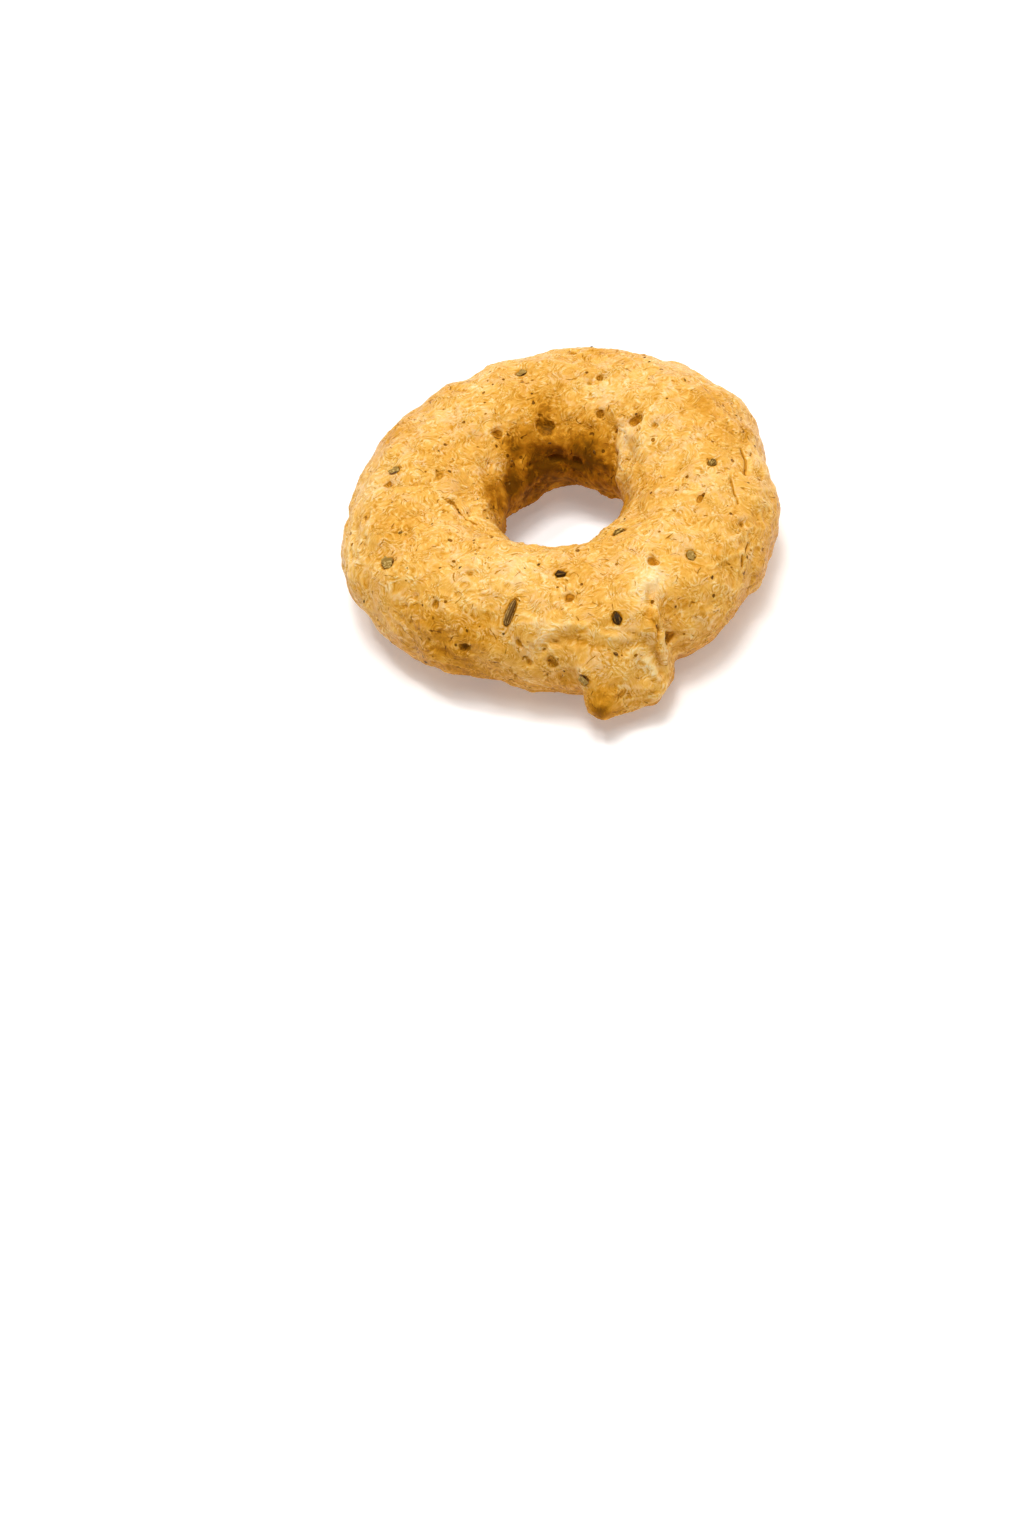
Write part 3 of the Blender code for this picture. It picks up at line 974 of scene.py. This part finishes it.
# Pinholes: how far apart, their size as a share of that, and how far the same swirls draw them
PINHOLE_APART = 1.2 * MM
PINHOLE_SIZE = 0.22
PINHOLE_DRAWN = 0.1
# Hairline cracks: how far apart the lines lie that they are parts of, and how long a part is
HAIRLINES_APART = 1.6 * MM
HAIRLINE_LONG = 0.9 * MM
# Widths of the broad patches, of the soft spots where it is brown and of the grain
PATCH_WIDE = 4.5 * MM
SPOT_WIDE = 1.5 * MM
GRAIN_WIDE = 0.25 * MM
# What each feature adds to the tone at its full strength
PATCH_TONE = 0.03
# Folds: ridges painted lighter as highlight, grooves darker as painted shade
FOLD_TONE = -0.12
SPOT_TONE = 0.12
# Strokes: crests painted lighter as highlight, hollows darker as painted shade
STROKE_HIGHLIGHT_TONE = -0.22
STROKE_SHADE_TONE = 0.17
# Pinholes, hairline cracks, pits and their bottoms are painted darker as the shade in them
PINHOLE_TONE = 0.5
HAIRLINE_TONE = 0.3
PIT_TONE = 0.19
PIT_BOTTOM_TONE = 0.19
PIT_RIM_TONE = -0.08
STAIN_AND_SHADOW_TONE = 0.45
# The share of a pit's own tone that is left where the crust is brown
BROWN_PITS = 0.45
# How high the surface's fine bumps are, and what each feature adds as a share of that
BUMP_HIGH = 0.18 * MM
GRAIN_BUMP = 0.25
PINHOLE_BUMP = -0.4
HAIRLINE_BUMP = -0.4
PIT_BUMP = -0.5
# Roughness where the grain is low, where it is high, and what a brown crust adds
GRAIN_ROUGHNESS = (0.42, 0.28)
BROWN_ROUGHNESS = 0.5
HERB_COLORS = {
    "fennel": ((0.13, 0.055, 0.004, 1), (0.48, 0.28, 0.075, 1)),
    "flake": ((0.30, 0.165, 0.025, 1), (0.62, 0.42, 0.13, 1)),
    "seed": ((0.16, 0.078, 0.004, 1), (0.62, 0.40, 0.10, 1)),
    "dark_seed": ((0.035, 0.014, 0.001, 1), (0.19, 0.090, 0.010, 1)),
    "speck": ((0.12, 0.045, 0.002, 1), (0.28, 0.14, 0.015, 1)),
}
BLOTCH_WIDE = 0.35 * MM
BLOTCH_HIGH = 0.04 * MM


def add_swirl(nodes):
    """How far the swirls of a wide noise move each point, as a vector."""
    swirl = nodes.add("ShaderNodeTexNoise", {"Scale": 1 / SWIRL_WIDE, "Detail": 1.0})
    nodes.link(nodes.coordinates(), swirl.inputs["Vector"])
    centred = nodes.vector("SUBTRACT", swirl.outputs["Color"], (0.5, 0.5, 0.5))
    return nodes.vector("MULTIPLY", centred, (SWIRL, SWIRL, SWIRL))


def add_density(nodes, brown):
    """How strong the strokes are: the most in some places, and little where it is brown."""
    dense = nodes.ranged(nodes.noise(DENSE_WIDE, 2.0, 0.5), 0.36, 0.60, FAINT_STROKES, 1)
    return nodes.math("MULTIPLY", dense, nodes.ranged(brown, 0, 1, 1, BROWN_STROKES))


def add_pinholes(nodes, swirl):
    """1 in the pinholes and 0 round them."""
    drawn = nodes.vector("MULTIPLY", swirl, (PINHOLE_DRAWN, PINHOLE_DRAWN, PINHOLE_DRAWN))
    drawn = nodes.vector("ADD", nodes.coordinates(), drawn)
    cells = nodes.add("ShaderNodeTexVoronoi", {"Vector": drawn, "Scale": 1 / PINHOLE_APART})
    lot = nodes.add("ShaderNodeSeparateXYZ", {"Vector": cells.outputs["Color"]})
    size = nodes.ranged(lot.outputs["X"], 0.5, 1.0, 0.0, PINHOLE_SIZE, "LINEAR")
    inside = nodes.math("SUBTRACT", size, cells.outputs["Distance"])
    return nodes.ranged(inside, 0.0, 0.06)


def add_hairlines(nodes):
    """1 on short parts of the lines where a noise crosses its middle, and 0 elsewhere."""
    course = nodes.math("SUBTRACT", nodes.noise(HAIRLINES_APART, 0.0, 0.5), 0.5)
    lines = nodes.ranged(nodes.math("ABSOLUTE", course, 0), 0.006, 0.022, 1, 0)
    parts = nodes.ranged(nodes.noise(HAIRLINE_LONG, 1.0, 0.5), 0.58, 0.66)
    return nodes.math("MULTIPLY", lines, parts)


def add_pits(nodes, strokes):
    """The inside of pits, then their rim. The strokes make both ragged."""
    ragged = nodes.math("MULTIPLY", nodes.math("SUBTRACT", strokes, 0.5), 0.8)
    ragged = nodes.math("ADD", nodes.attribute("hollow"), ragged)
    inside = nodes.ranged(ragged, 0.42, 0.58)
    outer = nodes.ranged(ragged, 0.08, 0.28)
    return inside, nodes.math("SUBTRACT", outer, nodes.ranged(ragged, 0.28, 0.42))


def ground_tone(nodes, brown):
    """The tone from the shade attribute, which holds toasting and painted shade, lighter on crests
    and ridges as painted highlight and darker in valleys and grooves as painted shade, with broad
    patches.
    """
    tone = nodes.ranged(nodes.attribute("shade"), -2.0, 3.4, 0.10, 0.993, "LINEAR")
    patches = nodes.noise(PATCH_WIDE, 2.0, 0.5)
    tone = nodes.math("ADD", tone, nodes.ranged(patches, 0.32, 0.68, -PATCH_TONE, PATCH_TONE))
    # Crests painted lighter as highlight, valleys darker as shade
    crests = nodes.ranged(nodes.attribute("crest"), 0.1, 0.95, -0.05, 0.09)
    tone = nodes.math("SUBTRACT", tone, crests)
    # Ridges painted lighter as highlight, grooves darker as shade
    folds = nodes.ranged(nodes.attribute("fold"), -0.5, 0.5, -FOLD_TONE, FOLD_TONE)
    tone = nodes.math("ADD", tone, folds)
    spots = nodes.noise(SPOT_WIDE, 1.0, 0.5)
    return nodes.plus(tone, nodes.ranged(spots, 0.32, 0.68, -SPOT_TONE, SPOT_TONE), brown)


def crust_color(nodes, tone):
    """The tone's colour, with creamy patches that are as light and less yellow."""
    creamy = nodes.ranged(nodes.noise(CREAM_WIDE, 3.0, 0.6), 0.50, 0.62, 0, CREAM_SHARE)
    creamy = nodes.math("MULTIPLY", creamy, nodes.ranged(tone, 0.35, 0.6, 1, 0))
    return nodes.mixed(creamy, nodes.ramp(tone, CRUST_TONES), CREAM)


def crust_material():
    material = bpy.data.materials.new("baked_crust")
    shader = shader_of(material)
    nodes = Nodes(material)
    swirl = add_swirl(nodes)
    drawn = nodes.vector("ADD", nodes.coordinates(), swirl)
    strokes = nodes.noise(STROKE_WIDE, 3.0, 0.6, where=drawn)
    brown = nodes.ranged(nodes.attribute("shade"), 0.7, 2.2)
    dense = add_density(nodes, brown)
    stroke_highlights = nodes.math("MULTIPLY", nodes.ranged(strokes, 0.50, 0.62), dense)
    stroke_shade = nodes.math("MULTIPLY", nodes.ranged(strokes, 0.48, 0.37), dense)
    pinholes = add_pinholes(nodes, swirl)
    hairlines = add_hairlines(nodes)
    pits, rims = add_pits(nodes, strokes)
    grain = nodes.noise(GRAIN_WIDE, 2.0, 0.6)

    tone = ground_tone(nodes, brown)
    # Stroke crests painted lighter as highlight, hollows darker as shade
    tone = nodes.plus(tone, stroke_highlights, STROKE_HIGHLIGHT_TONE)
    tone = nodes.plus(tone, stroke_shade, STROKE_SHADE_TONE)
    # Pinholes, cracks, pits and the depths of pores are painted darker as the shade in them
    tone = nodes.plus(tone, pinholes, PINHOLE_TONE)
    tone = nodes.plus(tone, hairlines, HAIRLINE_TONE)
    bottoms = nodes.ranged(nodes.attribute("hollow"), 0.1, 1.2, 0, PIT_BOTTOM_TONE)
    pit_tone = nodes.plus(bottoms, pits, PIT_TONE)
    tone = nodes.plus(tone, pit_tone, nodes.ranged(brown, 0, 1, 1, BROWN_PITS))
    tone = nodes.plus(tone, rims, PIT_RIM_TONE)
    # A dark ring round each herb, partly a stain and partly painted contact shadow
    tone = nodes.plus(tone, nodes.ranged(nodes.attribute("stain_and_shadow"), 0, 1), STAIN_AND_SHADOW_TONE)
    nodes.link(crust_color(nodes, tone), shader.inputs["Base Color"])

    height = nodes.math("MULTIPLY", nodes.math("SUBTRACT", strokes, 0.5), dense)
    height = nodes.plus(height, grain, GRAIN_BUMP)
    height = nodes.plus(height, pinholes, PINHOLE_BUMP)
    height = nodes.plus(height, hairlines, HAIRLINE_BUMP)
    height = nodes.plus(height, pits, PIT_BUMP)
    bumps = nodes.add("ShaderNodeBump", {"Strength": 1.0, "Distance": BUMP_HIGH, "Height": height})
    nodes.link(bumps.outputs["Normal"], shader.inputs["Normal"])
    roughness = nodes.ranged(grain, 0.35, 0.7, *GRAIN_ROUGHNESS)
    nodes.link(nodes.plus(roughness, brown, BROWN_ROUGHNESS), shader.inputs["Roughness"])
    shader.inputs["Subsurface Weight"].default_value = 0.12
    shader.inputs["Subsurface Radius"].default_value = (1.0, 0.45, 0.12)
    shader.inputs["Subsurface Scale"].default_value = 0.4 * MM
    shader.inputs["Specular IOR Level"].default_value = 0.22
    shader.inputs["Specular Tint"].default_value = (1.0, 0.62, 0.25, 1)
    return material


def herb_material(kind):
    material = bpy.data.materials.new(f"{kind}_herb")
    shader = shader_of(material)
    nodes = Nodes(material)
    dark, light = HERB_COLORS[kind]
    blotch = nodes.noise(BLOTCH_WIDE, 3.0, 0.6)
    lines = nodes.ranged(nodes.attribute("pattern"), -0.3, 0.8)
    lightness = nodes.math("MULTIPLY", lines, nodes.ranged(blotch, 0.3, 0.6))
    nodes.link(nodes.mixed(lightness, dark, light), shader.inputs["Base Color"])
    relief = {"Strength": 0.6, "Distance": BLOTCH_HIGH, "Height": blotch}
    bumps = nodes.add("ShaderNodeBump", relief)
    nodes.link(bumps.outputs["Normal"], shader.inputs["Normal"])
    shader.inputs["Roughness"].default_value = 0.6
    shader.inputs["Specular IOR Level"].default_value = 0.15
    return material


# Stage, light and camera. The photo is 1536 pixels high and 10 of them are 1 mm of the tarallo.
PHOTO_HEIGHT = 1536
PIXELS_PER_METRE = 10000
RING_RIGHT_OF_CENTRE = 49.6
RING_ABOVE_CENTRE = 250.0
CAMERA_ELEVATION = 43.5
CAMERA_ROLL = 11.6
LENS = 100.0
SENSOR = 36.0
# The floor glows a little, as for a photograph on pure white
FLOOR_GLOW = 0.22
FLOOR_GRAIN = 40 * MM
FLOOR_HALF_WIDTH = 2.0
# Lamps: name, place, width and power
LAMPS = (
    ("key", (0.05, 0.05, 2.3), 0.7, 28.0),
    ("front", (0.10, -0.70, 2.2), 0.7, 8.5),
    ("spark", (-0.45, 0.45, 1.6), 0.16, 4.7),
)
# The world's light from the camera's side to the far side, and its share from left to right
WORLD_FRONT_TO_BACK = (0.14, 0.68)
WORLD_LEFT_TO_RIGHT = (0.72, 1.5)


def floor_material():
    material = bpy.data.materials.new("pale_floor")
    shader = shader_of(material)
    nodes = Nodes(material)
    grain = nodes.noise(FLOOR_GRAIN, 2.0)
    color = nodes.mixed(grain, (0.86, 0.86, 0.86, 1), (0.88, 0.88, 0.88, 1))
    nodes.link(color, shader.inputs["Base Color"])
    shader.inputs["Roughness"].default_value = 0.7
    shader.inputs["Emission Color"].default_value = (1, 1, 1, 1)
    shader.inputs["Emission Strength"].default_value = FLOOR_GLOW
    return material


def make_floor():
    bm = bmesh.new()
    bmesh.ops.create_grid(bm, x_segments=8, y_segments=8, size=FLOOR_HALF_WIDTH)
    floor = linked_object("floor", bm)
    floor.data.materials.append(floor_material())


def make_lamp(name, place, width, power, target):
    light = bpy.data.lights.new(name, "AREA")
    light.size = width
    light.energy = power
    obj = bpy.data.objects.new(name, light)
    obj.location = place
    obj.rotation_mode = "QUATERNION"
    obj.rotation_quaternion = (target - Vector(place)).to_track_quat("-Z", "Y")
    bpy.context.scene.collection.objects.link(obj)


def make_lights(target):
    world = bpy.data.worlds.new("studio")
    world.use_nodes = True
    background = world.node_tree.nodes["Background"]
    background.inputs["Color"].default_value = (1, 1, 1, 1)
    nodes = Nodes(world)
    direction = nodes.add("ShaderNodeTexCoord").outputs["Generated"]
    parts = nodes.add("ShaderNodeSeparateXYZ", {"Vector": direction})
    behind = nodes.ranged(parts.outputs["Y"], -0.8, 0.6, *WORLD_FRONT_TO_BACK)
    right = nodes.ranged(parts.outputs["X"], -1.0, 1.0, *WORLD_LEFT_TO_RIGHT)
    nodes.link(nodes.math("MULTIPLY", behind, right), background.inputs["Strength"])
    bpy.context.scene.world = world
    for name, place, width, power in LAMPS:
        make_lamp(name, place, width, power, target)


def make_camera(target):
    """The camera looks past the tarallo, which sits up and to the right of the frame's middle."""
    elevation = math.radians(CAMERA_ELEVATION)
    back = Vector((0, -math.cos(elevation), math.sin(elevation)))
    per_pixel = SENSOR / LENS / PHOTO_HEIGHT
    aim = (-back).to_track_quat("-Z", "Y")
    aim = aim @ Quaternion((0, 0, 1), -math.radians(CAMERA_ROLL))
    aim = aim @ Quaternion((0, 1, 0), math.atan(RING_RIGHT_OF_CENTRE * per_pixel))
    aim = aim @ Quaternion((1, 0, 0), -math.atan(RING_ABOVE_CENTRE * per_pixel))
    camera = bpy.data.cameras.new("camera")
    camera.lens = LENS
    camera.sensor_width = SENSOR
    camera.clip_start = 0.01
    obj = bpy.data.objects.new("camera", camera)
    obj.location = target + back / (per_pixel * PIXELS_PER_METRE)
    obj.rotation_mode = "QUATERNION"
    obj.rotation_quaternion = aim
    bpy.context.scene.collection.objects.link(obj)
    bpy.context.scene.camera = obj


def dress(piece, material):
    piece.data.materials.clear()
    piece.data.materials.append(material)
    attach(piece, "root")
    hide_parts("tarallo")


def build():
    # The noise that gives vectors starts from the clock unless it has a seed
    noise.seed_set(WARP_DRAW)
    crust = dough_body()
    tree = surface_tree(crust)
    herbs = herbs_on(tree)
    specks = specks_on(tree)
    refine(crust)
    raise_relief(crust, tree, herbs)
    flatten_base(crust)
    move_into_frame(crust)
    dress(crust, crust_material())
    for kind in HERB_KINDS:
        dress(make_herbs(kind, herbs), herb_material(kind))
    dress(make_herbs("speck", specks), herb_material("speck"))
    ring_middle = Vector((*RING_PLACE, ROPE_MIDDLE))
    make_floor()
    make_lights(ring_middle)
    make_camera(ring_middle)
    bpy.context.scene.view_settings.view_transform = "Standard"


build()
